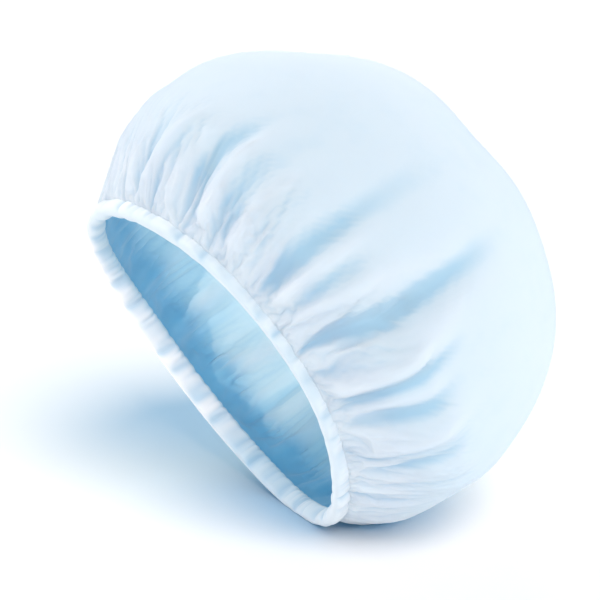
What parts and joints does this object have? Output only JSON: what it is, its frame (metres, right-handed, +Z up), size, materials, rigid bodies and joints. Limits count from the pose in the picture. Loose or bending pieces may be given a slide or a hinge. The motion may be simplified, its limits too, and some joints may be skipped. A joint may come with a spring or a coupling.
{
  "type": "shampoo cap",
  "caption": "Puffed-up shampoo cap of thin soft fabric, gathered into a padded elastic hem, lying on its side with its opening tilted down.",
  "frame": {"origin": "on the floor, under the middle of the cap as it lies", "axes": "+Z up; +X from the opening towards the crown, along the floor; +Y across the opening"},
  "size_m": [0.2178, 0.2448, 0.2378],
  "materials": {
    "crown_fabric": "thin pale blue nonwoven with a soft sheen",
    "hem_fabric": "the same nonwoven, folded and puckered over an elastic"
  },
  "bodies": {
    "root": {"crown": "crown_fabric", "hem_band": "hem_fabric"}
  },
  "joints": []
}
